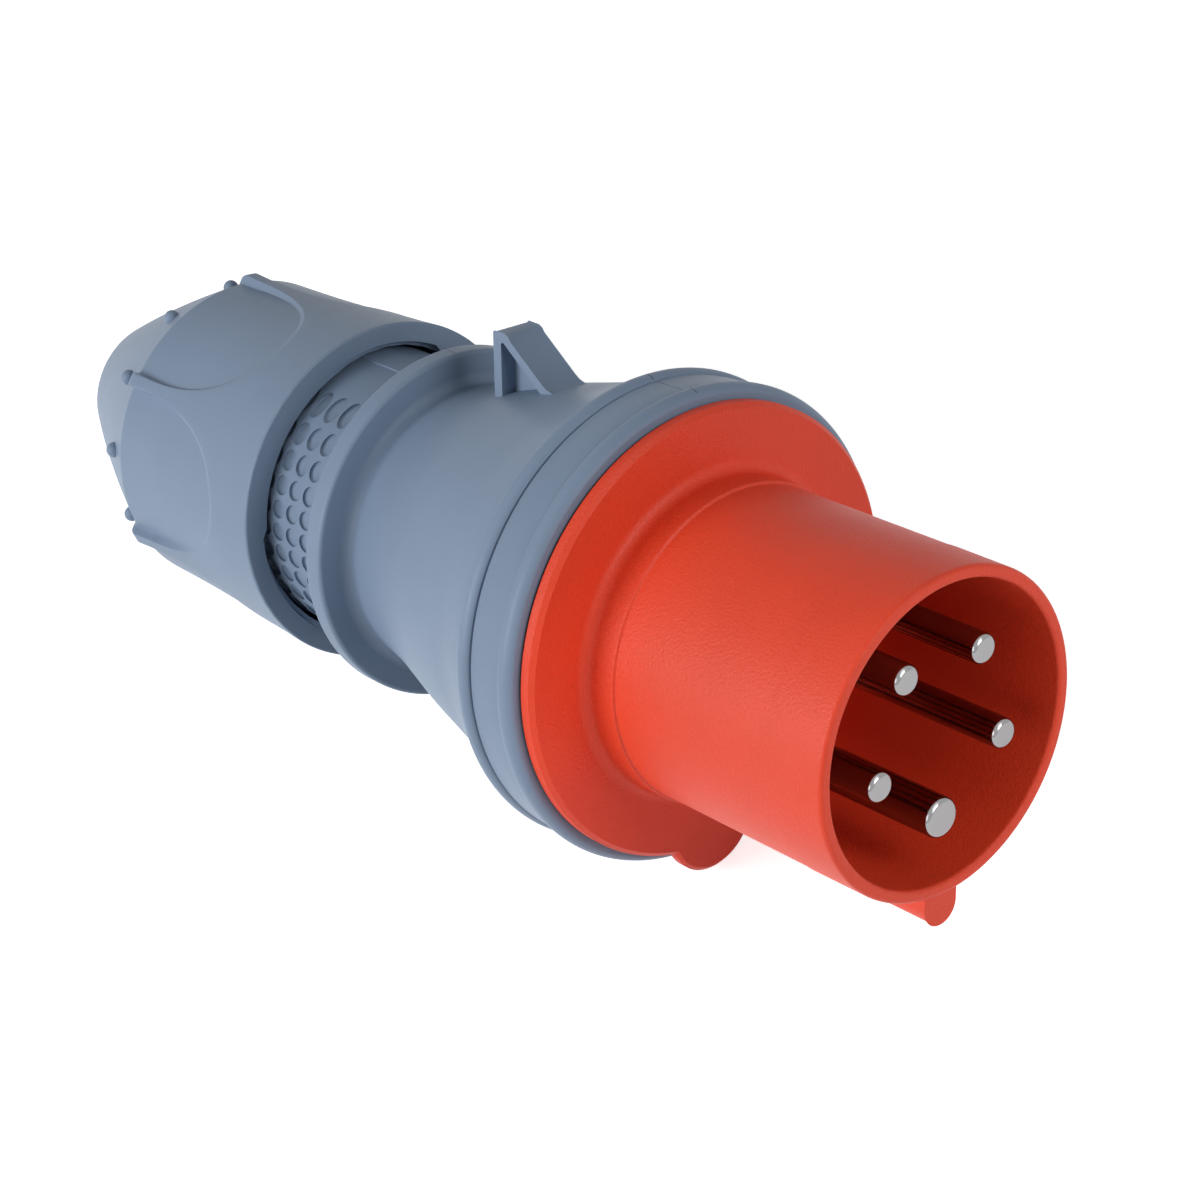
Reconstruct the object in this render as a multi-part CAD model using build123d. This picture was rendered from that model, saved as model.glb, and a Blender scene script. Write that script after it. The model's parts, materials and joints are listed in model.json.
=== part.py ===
from build123d import *
from math import acos, atan2, cos, degrees, radians, sin, tan
import os

# Five-pole industrial pin and sleeve plug with a quick three-start cable gland nut.
# It is modelled along its own axis, in millimetres: +X is the way it is pushed into a socket,
# x = 0 is the front face of the red flange, and +Z is the side of the locking hook (12 o'clock).
# At the end every piece is laid down together, as the loose plug comes to rest on a table.

# Pin shroud: the red sleeve with its flange
sleeve_radius = 32.0
sleeve_wall = 2.6
sleeve_length = 61.4
sleeve_draft = 0.3
mouth_round = 0.8
front_band_length = 13.8
front_band_step = 0.12
root_band_length = 7.6
root_band_step = 0.5
root_fillet = 2.0
base_front = 12.0
base_thickness = 5.0
hollow_step = 0.4
flange_step = 1.7
flange_thickness = 3.1
flange_bevel = 0.9

# Key under the sleeve and locking lug under the flange
key_width = 7.6
key_height = 6.3
key_length = 26.0
key_setback = 0.9
lug_radius = 10.1
lug_stand = 5.4

# Spigot of the shroud, which snaps into the housing
spigot_length = 8.9
spigot_wall = 2.5
spigot_clearance = 0.2
barb_count = 3
barb_angle = 24.0
barb_length = 3.0
barb_height = 0.7
barb_setback = 1.0
barb_clearance = 0.3

# Contact pins
pin_circle = 16.8
pin_radius = 3.0
earth_pin_radius = 4.0
pin_setback = 0.7
pin_tip_round = 1.2
pin_root_length = 1.0
pin_root_step = 0.4
pin_hole_clearance = 0.1
pin_angles = {"pe": -90.0, "l1": -18.0, "l2": 54.0, "l3": 126.0, "n": 198.0}
barrel_radius = 5.2
barrel_length = 29.0
barrel_clearance = 0.15
pin_collar_step = 0.8
pin_collar_length = 3.0
wire_bore_radius = 2.9
wire_bore_depth = 14.0

# Terminal screws, one across the wire bore of each pin
terminal_screw_radius = 2.0
terminal_screw_setback = 6.0
terminal_screw_intrusion = 0.8
terminal_head_radius = 3.2
terminal_head_height = 2.2
terminal_window_clearance = 0.5
screw_slot_width = 0.9
screw_slot_depth = 1.0
thread_play = 0.05

# Carrier that traps the pins, and its two screws
carrier_clearance = 0.6
carrier_length = 35.0
carrier_screw_spread = 13.0
carrier_screw_radius = 2.0
carrier_screw_reach = 3.8
carrier_screw_length = 21.0
carrier_head_radius = 3.5
carrier_head_height = 2.6
carrier_head_clearance = 0.4
carrier_shank_clearance = 0.2
screw_tip_gap = 0.4

# Housing: mounting ring, groove, bead, funnel, collar and tail
seal_thickness = 0.5
seal_width = 2.6
housing_wall = 3.0
ring_crest_radius = 48.06
ring_band_radius = 47.2
ring_edge_depth = 1.4
ring_crest_setback = 2.5
ring_length = 12.1
ring_groove_width = 0.5
ring_groove_depth = 0.6
bead_radius = 47.7
bead_width = 4.0
funnel_front_radius = 46.2
funnel_rear_radius = 29.9
funnel_curve = ((0.17, 0.25), (0.32, 0.395), (0.5, 0.55), (0.66, 0.715), (0.82, 0.875))
collar_front = 75.9
collar_length = 5.0
collar_radius = 37.3
collar_round = 1.2
tail_radius = 30.5
tail_length = 43.1
tail_wall = 4.0

# Locking hook on the funnel
hook_width = 8.8
hook_rear = 58.7
hook_height = 47.5
hook_top_length = 3.9
hook_foot = 41.0
hook_foot_height = 37.3
hook_leg = 2.1
hook_slab = 1.8
hook_web = 1.8

# Grip dimples and the rib on the tail
dimple_radius = 1.95
dimple_depth = 0.6
dimple_pitch = 4.4
dimple_columns = 5
dimple_first_setback = 5.3
dimple_row_step = 10.0
dimple_row_start = 40.0
dimple_row_end = 140.0
rib_angle = 14.0
rib_height = 0.4

# Quick thread between the tail and the gland nut
thread_starts = 3
thread_lead = 18.0
thread_phase = 87.6
thread_root_radius = 31.6
thread_gap_radius = 32.7
thread_gap_angle = 48.0
thread_flank_angle = 4.0
ridge_radius = 31.8
ridge_angle = 34.0
ridge_zone_length = 16.0

# Gland nut: its rim, a waisted grip that ends in a shoulder, and a long cone to the cable
nut_gap = 20.9
nut_rim_radius = 36.9
nut_rim_chamfer = 0.6
waist_setback = 22.2
waist_radius = 35.95
shoulder_setback = 48.8
shoulder_radius = 36.6
shoulder_round = 3.0
floor_waist_setback = 24.2
floor_waist_radius = 35.25
crease_setback = 50.4
crease_radius = 34.4
cone_length = 37.7
cone_rear_radius = 16.1
cone_bulge = 0.6
nut_thread_length = 46.0
chamber_length = 60.2
chamber_radius = 28.2
chamber_chamfer = 2.5
nut_seat_radius = 23.0
cable_hole_radius = 13.0
cable_hole_length = 3.0
pocket_count = 6
pocket_angle = 116.6
pocket_half_angle = 27.6
pocket_center = 41.7
pocket_front_length = 28.0
knob_radius = 1.7
knob_setback = 57.2
knob_circle = 31.6

# Clamp cage, cable seal and thrust ring inside the gland
cage_clearance = 0.2
cage_skirt = 10.0
cage_wall = 5.2
cage_lip_length = 1.2
cage_lip_height = 2.0
cage_flange_radius = 27.6
cage_flange_length = 2.2
finger_count = 8
finger_length = 14.8
finger_root_radius = 22.5
finger_tip_radius = 17.5
finger_thickness = 2.6
finger_slot = 3.0
seal_clearance = 0.1
cable_seal_bore = 9.5
cable_seal_length = 9.5
cable_seal_groove = 1.0
thrust_length = 8.0
thrust_clearance = 0.3
thrust_play = 0.1
thrust_over_fingers = 0.35
nut_travel = 20.25

# Places along the axis that several pieces share
flange_radius = ring_band_radius - flange_step
lug_reach = flange_radius + lug_stand
mouth = sleeve_length
base_rear = base_front - base_thickness
flange_rear = -flange_thickness
housing_front = flange_rear - seal_thickness
sleeve_bore = sleeve_radius - sleeve_wall
hollow_radius = sleeve_bore - hollow_step
spigot_rear = flange_rear - spigot_length
housing_bore = ring_band_radius - ring_edge_depth - housing_wall - 0.3
spigot_radius = housing_bore - spigot_clearance
barb_front = spigot_rear + barb_setback + barb_length
barrel_rear = base_rear - pin_collar_length - barrel_length
carrier_radius = hollow_radius - carrier_clearance
carrier_rear = base_rear - carrier_length
terminal_screw_x = barrel_rear + terminal_screw_setback
ring_rear = housing_front - ring_length
bead_rear = ring_rear - ring_groove_width - bead_width
collar_rear = -collar_front - collar_length
tail_end = collar_rear - tail_length
tail_bore = tail_radius - tail_wall
nut_front = collar_rear - nut_gap
crease = nut_front - crease_setback
nut_rear = crease - cone_length
chamber_rear = nut_front - chamber_length
thread_end = nut_front - nut_thread_length
cage_bore = tail_bore - cage_wall
cage_rear = tail_end - cage_flange_length
finger_tip = cage_rear - finger_length
thrust_rear = chamber_rear + thrust_play
thrust_front = thrust_rear + thrust_length


def station(x):
    """Plane across the axis at x, with its own x along +Y and its normal along +X."""
    return Plane(origin=(x, 0, 0), x_dir=(0, 1, 0), z_dir=(1, 0, 0))


def outline_solid(edges):
    """Solid of revolution about the axis from a closed outline of (x, radius) edges."""
    return revolve(Plane.XZ * make_face(edges), Axis.X)


def turned(points, rounds=()):
    """Solid of revolution from (x, radius) points; rounds gives (point number, fillet radius)."""
    face = make_face(Polyline(*points, close=True))
    for number, size in rounds:
        corner = face.vertices().sort_by_distance(Vector(*points[number], 0))[0]
        face = fillet(corner, size)
    return revolve(Plane.XZ * face, Axis.X)


def bar(radius, start, end):
    """Round bar on the axis from x = start to x = end."""
    return station(min(start, end)) * Cylinder(
        radius, abs(end - start), align=(Align.CENTER, Align.CENTER, Align.MIN)
    )


def across(angle, distance):
    """Move to a point beside the axis; the angle runs from +Y towards +Z."""
    return Pos(0, distance * cos(radians(angle)), distance * sin(radians(angle)))


def ring_of(shape, count, step=None):
    """Copies of a shape evenly spaced about the axis."""
    step = 360 / count if step is None else step
    return [Rot(step * k, 0, 0) * shape for k in range(count)]


def thread_section(root, crest, crest_angle, turn):
    """Section of the three-start thread: crest lobes on a root circle."""
    step = 360 / thread_starts
    edges = []
    for k in range(thread_starts):
        middle = turn + k * step
        crest_edge = crest_angle / 2
        root_edge = crest_edge + thread_flank_angle

        def point(radius, offset):
            angle = radians(middle + offset)
            return (radius * cos(angle), radius * sin(angle))

        edges.append(
            ThreePointArc(point(crest, -crest_edge), point(crest, 0), point(crest, crest_edge))
        )
        edges.append(Line(point(crest, crest_edge), point(root, root_edge)))
        edges.append(
            ThreePointArc(
                point(root, root_edge), point(root, step / 2), point(root, step - root_edge)
            )
        )
        edges.append(Line(point(root, step - root_edge), point(crest, step - crest_edge)))
    return make_face(edges).face()


def thread_bar(root, crest, crest_angle, start, end):
    """Three-start threaded bar from x = start back to x = end, in step with the nut at rest."""
    turn = thread_phase + 360 * (end - nut_front) / thread_lead
    length = start - end
    section = thread_section(root, crest, crest_angle, turn)
    twisted = Solid.extrude_linear_with_rotation(
        section, (0, 0, 0), (0, 0, length), 360 * length / thread_lead
    )
    return station(end) * twisted


def slotted_screw(shank_radius, shank_length, head_radius, head_height):
    """Cheese-head screw on the Z axis: the head stands on z = 0 and the shank hangs below."""
    screw = Cylinder(shank_radius, shank_length, align=(Align.CENTER, Align.CENTER, Align.MAX))
    screw += Cylinder(head_radius, head_height, align=(Align.CENTER, Align.CENTER, Align.MIN))
    slot = Pos(0, 0, head_height - screw_slot_depth) * Box(
        3 * head_radius,
        screw_slot_width,
        2 * screw_slot_depth,
        align=(Align.CENTER, Align.CENTER, Align.MIN),
    )
    return screw - slot


def make_pin_shroud():
    """Red moulding: sleeve, base wall, flange with lug, key and snap-in spigot."""
    band_rear = mouth - front_band_length
    sleeve = turned(
        [
            (mouth, sleeve_bore),
            (mouth, sleeve_radius),
            (band_rear, sleeve_radius),
            (band_rear, sleeve_radius - front_band_step),
            (root_band_length, sleeve_radius - sleeve_draft),
            (root_band_length, sleeve_radius - sleeve_draft + root_band_step),
            (0, sleeve_radius - sleeve_draft + root_band_step),
            (0, flange_radius - lug_radius / 2),
            (flange_rear, flange_radius - lug_radius / 2),
            (flange_rear, hollow_radius),
            (base_rear, hollow_radius),
            (base_rear, 0),
            (base_front, 0),
            (base_front, sleeve_bore),
        ],
        rounds=[(0, mouth_round), (1, mouth_round), (6, root_fillet)],
    )

    lug_center = lug_reach - lug_radius
    plate = Circle(flange_radius) + Pos(0, -lug_center) * Circle(lug_radius)
    plate -= Circle(flange_radius - lug_radius / 2)
    flange = station(flange_rear) * extrude(plate, flange_thickness)
    front_face = flange.faces().sort_by(Axis.X)[-1]
    flange = chamfer(front_face.outer_wire().edges(), flange_bevel)

    key_tip = sleeve_radius + key_height
    key_outline = Pos(0, -key_tip + key_width / 2) * Circle(key_width / 2)
    key_outline += Pos(0, -(sleeve_radius + key_tip - key_width / 2) / 2 + sleeve_wall / 4) * Rectangle(
        key_width, key_tip - key_width / 2 - sleeve_radius + sleeve_wall / 2 + sleeve_wall
    )
    key = station(mouth - key_setback - key_length) * extrude(key_outline, key_length)
    key -= bar(sleeve_radius - sleeve_wall / 2, mouth, 0)

    spigot = turned(
        [
            (flange_rear, spigot_radius),
            (spigot_rear, spigot_radius),
            (spigot_rear, spigot_radius - spigot_wall),
            (flange_rear, spigot_radius - spigot_wall),
        ]
    )
    barb_outline = make_face(
        Polyline(
            (barb_front, spigot_radius - spigot_wall / 2),
            (barb_front, spigot_radius + barb_height),
            (barb_front - barb_length, spigot_radius),
            (barb_front - barb_length, spigot_radius - spigot_wall / 2),
            close=True,
        )
    )
    barb = revolve(Plane.XZ * barb_outline, Axis.X, revolution_arc=barb_angle)
    shroud = sleeve + flange + key + spigot + ring_of(barb, barb_count)

    for name, angle in pin_angles.items():
        hole_radius = radius_of_pin(name) + pin_root_step + pin_hole_clearance
        shroud -= across(angle, pin_circle) * bar(hole_radius, base_rear - 1, base_front + 1)
    for side in (-1, 1):
        hole = bar(
            carrier_screw_radius + thread_play,
            base_rear - 1,
            base_rear + carrier_screw_reach + screw_tip_gap,
        )
        shroud -= Pos(0, side * carrier_screw_spread / 2, 0) * hole
    return shroud


def radius_of_pin(name):
    """The earth pin is thicker than the others."""
    return earth_pin_radius if name == "pe" else pin_radius


def make_pin(name):
    """Turned brass contact pin with a trapped collar, a wire bore and a cross-tapped barrel."""
    radius = radius_of_pin(name)
    root_front = base_front + pin_root_length
    collar_rear_face = base_rear - pin_collar_length
    pin = turned(
        [
            (mouth - pin_setback, 0),
            (mouth - pin_setback, radius),
            (root_front, radius),
            (root_front - pin_root_step, radius + pin_root_step),
            (base_rear, radius + pin_root_step),
            (base_rear, barrel_radius + pin_collar_step),
            (collar_rear_face, barrel_radius + pin_collar_step),
            (collar_rear_face, barrel_radius),
            (barrel_rear, barrel_radius),
            (barrel_rear, 0),
        ],
        rounds=[(1, pin_tip_round)],
    )
    pin -= bar(wire_bore_radius, barrel_rear - 1, barrel_rear + wire_bore_depth)
    tapped = Pos(terminal_screw_x, 0, 0) * Cylinder(
        terminal_screw_radius + thread_play,
        2 * barrel_radius,
        align=(Align.CENTER, Align.CENTER, Align.MIN),
    )
    pin -= Rot(pin_angles[name] - 90, 0, 0) * tapped
    return across(pin_angles[name], pin_circle) * pin


def make_terminal_screw(name):
    """Screw that clamps the wire, pointing from the carrier's side towards the axis."""
    shank = barrel_radius - wire_bore_radius + terminal_screw_intrusion
    screw = slotted_screw(
        terminal_screw_radius, shank, terminal_head_radius, terminal_head_height
    )
    seated = Pos(terminal_screw_x, 0, pin_circle + barrel_radius) * screw
    return Rot(pin_angles[name] - 90, 0, 0) * seated


def make_pin_carrier():
    """Insulating block behind the base wall, with stepped bores for the pins and screw windows."""
    carrier = bar(carrier_radius, base_rear, carrier_rear)
    for angle in pin_angles.values():
        bore = bar(barrel_radius + barrel_clearance, base_rear, carrier_rear)
        pocket = bar(
            barrel_radius + pin_collar_step + barrel_clearance,
            base_rear,
            base_rear - pin_collar_length,
        )
        carrier -= across(angle, pin_circle) * (bore + pocket)
        window = Pos(terminal_screw_x, 0, pin_circle) * Cylinder(
            terminal_head_radius + terminal_window_clearance,
            carrier_radius,
            align=(Align.CENTER, Align.CENTER, Align.MIN),
        )
        carrier -= Rot(angle - 90, 0, 0) * window
    seat = base_rear + carrier_screw_reach - carrier_screw_length
    for side in (-1, 1):
        hole = bar(carrier_screw_radius + carrier_shank_clearance, base_rear, seat)
        hole += bar(carrier_head_radius + carrier_head_clearance, seat, carrier_rear)
        carrier -= Pos(0, side * carrier_screw_spread / 2, 0) * hole
    return carrier


def make_carrier_screw(side):
    """Screw that holds the carrier against the base wall from behind."""
    screw = slotted_screw(
        carrier_screw_radius, carrier_screw_length, carrier_head_radius, carrier_head_height
    )
    seat = base_rear + carrier_screw_reach - carrier_screw_length
    return Pos(seat, side * carrier_screw_spread / 2, 0) * Rot(0, -90, 0) * screw


def make_front_seal():
    """Thin rubber ring squeezed between the red flange and the housing."""
    return turned(
        [
            (flange_rear, housing_bore + seal_width),
            (housing_front, housing_bore + seal_width),
            (housing_front, housing_bore),
            (flange_rear, housing_bore),
        ]
    )


def funnel_points(offset):
    """Points of the funnel's curve between the bead and the collar, moved in by the wall."""
    length = collar_front + bead_rear
    fall = funnel_front_radius - funnel_rear_radius
    return [
        (bead_rear - share * length, funnel_front_radius - drop * fall - offset)
        for share, drop in ((0, 0),) + funnel_curve + ((1, 1),)
    ]


def make_hook():
    """Locking hook: a rear leg and a sloping slab joined by a thin web in the middle."""
    root_rear = funnel_rear_radius + housing_wall
    outline = [
        (-hook_rear, root_rear),
        (-hook_rear, hook_height),
        (-hook_rear + hook_top_length, hook_height),
        (-hook_foot, hook_foot_height),
        (-hook_foot, hook_foot_height - housing_wall / 2),
    ]
    side = make_face(Polyline(*outline, close=True))
    for number, size in ((1, 0.4), (2, 1.2)):
        corner = side.vertices().sort_by_distance(Vector(*outline[number], 0))[0]
        side = fillet(corner, size)
    block = extrude(Plane.XZ * side, hook_width / 2, both=True)

    slope = (hook_height - hook_foot_height) / (hook_rear - hook_top_length - hook_foot)
    slab_drop = hook_slab / cos(atan2(slope, 1))
    pocket_rear = -hook_rear + hook_leg
    pocket_top = hook_height - hook_slab
    pocket_top_front = -hook_rear + hook_top_length + (hook_slab - slab_drop) / slope
    pocket = make_face(
        Polyline(
            (pocket_rear, 0),
            (pocket_rear, pocket_top),
            (max(pocket_top_front, pocket_rear + 0.3), pocket_top),
            (-hook_foot, hook_foot_height - slab_drop),
            (-hook_foot, 0),
            close=True,
        )
    )
    for side_sign in (-1, 1):
        depth = (hook_width - hook_web) / 2
        middle = side_sign * (hook_web / 2 + depth)
        block -= Pos(0, middle, 0) * extrude(Plane.XZ * pocket, depth, both=True)
    return block


def make_dimples():
    """Flat-bottomed round dimples in a square grid on both flanks of the tail."""
    dimples = []
    rows = int((dimple_row_end - dimple_row_start) / dimple_row_step + 1e-6) + 1
    for column in range(dimple_columns):
        x = collar_rear - dimple_first_setback - column * dimple_pitch
        cutter = Pos(x, 0, tail_radius - dimple_depth) * Cylinder(
            dimple_radius, 3 * dimple_depth, align=(Align.CENTER, Align.CENTER, Align.MIN)
        )
        for row in range(rows):
            angle = dimple_row_start + row * dimple_row_step
            dimples += [Rot(angle, 0, 0) * cutter, Rot(-angle, 0, 0) * cutter]
    return dimples


def make_housing():
    """Grey moulding: mounting ring, funnel with hook, collar and threaded tail."""
    crest_x = housing_front - ring_crest_setback
    band_front = crest_x - ring_crest_setback / 2
    bead_front = ring_rear - ring_groove_width
    groove_radius = ring_band_radius - ring_groove_depth
    outer_funnel = funnel_points(0)
    inner_funnel = funnel_points(housing_wall)
    groove_front = barb_front + barb_clearance
    groove_rear = groove_front - barb_length - 2 * barb_clearance
    groove_inner = spigot_radius + barb_height + barb_clearance
    edges = [
        Line((housing_front, housing_bore), (housing_front, ring_crest_radius - ring_edge_depth)),
        ThreePointArc(
            (housing_front, ring_crest_radius - ring_edge_depth),
            (housing_front - ring_crest_setback * 0.35, ring_crest_radius - ring_edge_depth * 0.24),
            (crest_x, ring_crest_radius),
        ),
        ThreePointArc(
            (crest_x, ring_crest_radius),
            ((crest_x + band_front) / 2, ring_crest_radius * 0.6 + ring_band_radius * 0.4 + 0.1),
            (band_front, ring_band_radius),
        ),
        Polyline(
            (band_front, ring_band_radius),
            (ring_rear, ring_band_radius - 0.2),
            (ring_rear, groove_radius),
            (bead_front, groove_radius),
            (bead_front, ring_band_radius - 0.3),
        ),
        ThreePointArc(
            (bead_front, ring_band_radius - 0.3),
            (bead_front - bead_width * 0.5, bead_radius),
            (bead_rear, funnel_front_radius + 0.4),
        ),
        Line((bead_rear, funnel_front_radius + 0.4), outer_funnel[0]),
        Spline(*outer_funnel),
        Polyline(
            outer_funnel[-1],
            (-collar_front, collar_radius),
            (collar_rear, collar_radius),
            (collar_rear, tail_radius),
            (tail_end, tail_radius),
            (tail_end, tail_bore),
            (-collar_front, tail_bore),
            inner_funnel[-1],
        ),
        Spline(*reversed(inner_funnel)),
        Polyline(
            inner_funnel[0],
            (groove_rear, housing_bore),
            (groove_rear, groove_inner),
            (groove_front, groove_inner),
            (groove_front, housing_bore),
            (housing_front, housing_bore),
        ),
    ]
    face = make_face(edges)
    for corner in ((-collar_front, collar_radius), (collar_rear, collar_radius)):
        vertex = face.vertices().sort_by_distance(Vector(*corner, 0))[0]
        face = fillet(vertex, collar_round)
    housing = revolve(Plane.XZ * face, Axis.X)

    ridge_start = tail_end + ridge_zone_length
    ridges = thread_bar(
        tail_radius - tail_wall / 4, ridge_radius, ridge_angle, ridge_start, tail_end
    )
    ridges -= bar(tail_radius - tail_wall / 2, ridge_start + 1, tail_end - 1)
    rib = revolve(
        Plane.XZ
        * make_face(
            Polyline(
                (collar_rear + collar_length / 2, tail_bore + tail_wall / 2),
                (collar_rear + collar_length / 2, tail_radius + rib_height),
                (ridge_start + thread_lead / thread_starts / 2, tail_radius + rib_height),
                (ridge_start + thread_lead / thread_starts / 2, tail_bore + tail_wall / 2),
                close=True,
            )
        ),
        Axis.X,
        revolution_arc=rib_angle,
    )
    housing += [make_hook(), Rot(-rib_angle / 2, 0, 0) * rib]
    housing += ridges
    return housing - make_dimples()


def make_nut_core():
    """Nut without its ridges: the floor of the pockets and the slightly bulging rear cone."""
    bulge = (crease_radius + cone_rear_radius) / 2 + cone_bulge
    return outline_solid(
        [
            ThreePointArc(
                (nut_front, nut_rim_radius),
                (nut_front - floor_waist_setback, floor_waist_radius),
                (crease, crease_radius),
            ),
            ThreePointArc(
                (crease, crease_radius),
                ((crease + nut_rear) / 2, bulge),
                (nut_rear, cone_rear_radius),
            ),
            Polyline((nut_rear, cone_rear_radius), (nut_rear, 0), (nut_front, 0)),
            Line((nut_front, 0), (nut_front, nut_rim_radius)),
        ]
    )


def make_nut_grip():
    """Waisted band over the core whose rear shoulder is rounded down to the cone."""
    shoulder = nut_front - shoulder_setback
    foot = shoulder_radius - shoulder_round
    arc_offset = shoulder_round * sin(radians(45))
    inside = foot - shoulder_round
    return outline_solid(
        [
            ThreePointArc(
                (nut_front, nut_rim_radius),
                (nut_front - waist_setback, waist_radius),
                (shoulder, shoulder_radius),
            ),
            ThreePointArc(
                (shoulder, shoulder_radius),
                (shoulder - arc_offset, foot + arc_offset),
                (shoulder - shoulder_round, foot),
            ),
            Polyline(
                (shoulder - shoulder_round, foot),
                (shoulder - shoulder_round, inside),
                (nut_front, inside),
                (nut_front, nut_rim_radius),
            ),
        ]
    )


def make_pocket():
    """Cutter for one grip pocket: round in front, with straight sides that run to the axis."""
    sections = []
    for height in (crease_radius - 2 * shoulder_round, nut_rim_radius + shoulder_round):
        half_width = height * tan(radians(pocket_half_angle))
        outline = Ellipse(pocket_front_length, half_width)
        outline += Rectangle(
            pocket_front_length, 2 * half_width, align=(Align.MAX, Align.CENTER)
        )
        sections.append(Pos(nut_front - pocket_center, 0, height) * outline.face())
    return loft(sections, ruled=True)


def make_gland_nut():
    """Gland nut: waisted grip with six pockets, rear cone with knobs and a three-start thread."""
    core = make_nut_core()
    grip = make_nut_grip() - ring_of(Rot(pocket_angle - 90, 0, 0) * make_pocket(), pocket_count)
    nut = core + grip
    nut = chamfer(nut.faces().sort_by(Axis.X)[-1].outer_wire().edges(), nut_rim_chamfer)
    knob = Pos(nut_front - knob_setback, 0, knob_circle) * Sphere(knob_radius)
    nut += ring_of(Rot(pocket_angle - 90, 0, 0) * knob, 2 * pocket_count)

    hole_front = nut_rear + cable_hole_length
    inside = turned(
        [
            (thread_end + 1, 0),
            (thread_end + 1, chamber_radius),
            (chamber_rear + chamber_chamfer, chamber_radius),
            (chamber_rear, chamber_radius - chamber_chamfer),
            (chamber_rear, nut_seat_radius),
            (hole_front, cable_hole_radius),
            (nut_rear - 1, cable_hole_radius),
            (nut_rear - 1, 0),
        ]
    )
    nut -= inside
    overrun = 2.0
    nut -= thread_bar(
        thread_root_radius, thread_gap_radius, thread_gap_angle, nut_front + overrun, thread_end
    )
    return nut


def make_clamp_cage():
    """Slotted clamping cage that sits on the tail's end and grips the cable when squeezed."""
    outer_seat = tail_bore - cage_clearance
    finger_inner_root = finger_root_radius - finger_thickness
    finger_inner_tip = finger_tip_radius - finger_thickness
    cage = turned(
        [
            (tail_end + cage_skirt, outer_seat),
            (tail_end, outer_seat),
            (tail_end, cage_flange_radius),
            (cage_rear, cage_flange_radius),
            (cage_rear, finger_root_radius),
            (finger_tip, finger_tip_radius),
            (finger_tip, finger_inner_tip),
            (cage_rear, finger_inner_root),
            (cage_rear, cage_bore),
            (tail_end + cage_skirt - cage_lip_length, cage_bore),
            (tail_end + cage_skirt - cage_lip_length, cage_bore - cage_lip_height),
            (tail_end + cage_skirt, cage_bore - cage_lip_height),
        ]
    )
    slot = Pos(cage_rear - finger_length / 8, 0, 0) * Box(
        finger_length,
        finger_slot,
        2 * cage_flange_radius,
        align=(Align.MAX, Align.CENTER, Align.CENTER),
    )
    return cage - ring_of(slot, finger_count // 2, 360 / finger_count)


def make_cable_seal():
    """Rubber ring that closes round the cable inside the cage."""
    front = tail_end + cage_skirt - cage_lip_length
    rear = front - cable_seal_length
    outer = cage_bore - seal_clearance
    seal = turned(
        [(front, cable_seal_bore), (front, outer), (rear, outer), (rear, cable_seal_bore)]
    )
    middle = (front + rear) / 2
    groove = turned(
        [
            (middle + cable_seal_groove, 0),
            (middle + cable_seal_groove, cable_seal_bore + cable_seal_groove),
            (middle - cable_seal_groove, cable_seal_bore + cable_seal_groove),
            (middle - cable_seal_groove, 0),
        ]
    )
    return seal - groove


def make_thrust_ring():
    """Cone ring that rides in the nut and squeezes the cage's fingers as the nut is tightened."""
    outer = chamber_radius - thrust_clearance
    taper = (finger_root_radius - finger_tip_radius) / finger_length
    front_when_tight = thrust_front + nut_travel
    front_inner = finger_root_radius - taper * (cage_rear - front_when_tight) + thrust_over_fingers
    rear_inner = finger_tip_radius + thrust_over_fingers
    return turned(
        [
            (thrust_front, front_inner),
            (thrust_front, outer),
            (thrust_rear + chamber_chamfer, outer),
            (thrust_rear, outer - chamber_chamfer),
            (thrust_rear, rear_inner),
        ]
    )


def make_parts():
    """Every piece under its own name, still on the plug's own axis."""
    parts = {"pin_shroud": make_pin_shroud(), "pin_carrier": make_pin_carrier()}
    for name in pin_angles:
        parts["pin_" + name] = make_pin(name)
        parts["terminal_screw_" + name] = make_terminal_screw(name)
    parts["carrier_screw_1"] = make_carrier_screw(-1)
    parts["carrier_screw_2"] = make_carrier_screw(1)
    parts["front_seal"] = make_front_seal()
    parts["housing"] = make_housing()
    parts["clamp_cage"] = make_clamp_cage()
    parts["cable_seal"] = make_cable_seal()
    parts["thrust_ring"] = make_thrust_ring()
    parts["gland_nut"] = make_gland_nut()
    return parts


def resting_angles():
    """Pitch and roll of the loose plug: it lies on its bead and on the floor of a pocket.

    It is rolled to one side until its lug or the nut's next ridge holds it.
    """
    bead_x = ring_rear - ring_groove_width - bead_width / 2
    pitch = atan2(bead_radius - crease_radius, bead_x - crease)
    table_at_lug = bead_radius + (flange_rear - bead_x) * tan(pitch)
    lug_roll = degrees(acos((table_at_lug - lug_radius) / (lug_reach - lug_radius)))
    table_at_ridge = crease_radius + (nut_front - shoulder_setback - crease) * tan(pitch)
    ridge_edge = pocket_angle - 90 - pocket_half_angle
    ridge_roll = ridge_edge + degrees(acos(table_at_ridge / shoulder_radius))
    return degrees(pitch), max(lug_roll, ridge_roll)


def lay_down(parts):
    """Roll onto the lug, drop the nut to the table, and put the origin under the middle."""
    pitch, roll = resting_angles()
    tilt = Rot(0, -pitch, 0) * Rot(-roll, 0, 0)
    lying = {name: tilt * shape for name, shape in parts.items()}
    boxes = [shape.bounding_box() for shape in lying.values()]
    middle_x = (min(box.min.X for box in boxes) + max(box.max.X for box in boxes)) / 2
    middle_y = (min(box.min.Y for box in boxes) + max(box.max.Y for box in boxes)) / 2
    shift = Pos(-middle_x, -middle_y, -min(box.min.Z for box in boxes))
    return {name: shift * shape for name, shape in lying.items()}, shift * tilt


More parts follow.
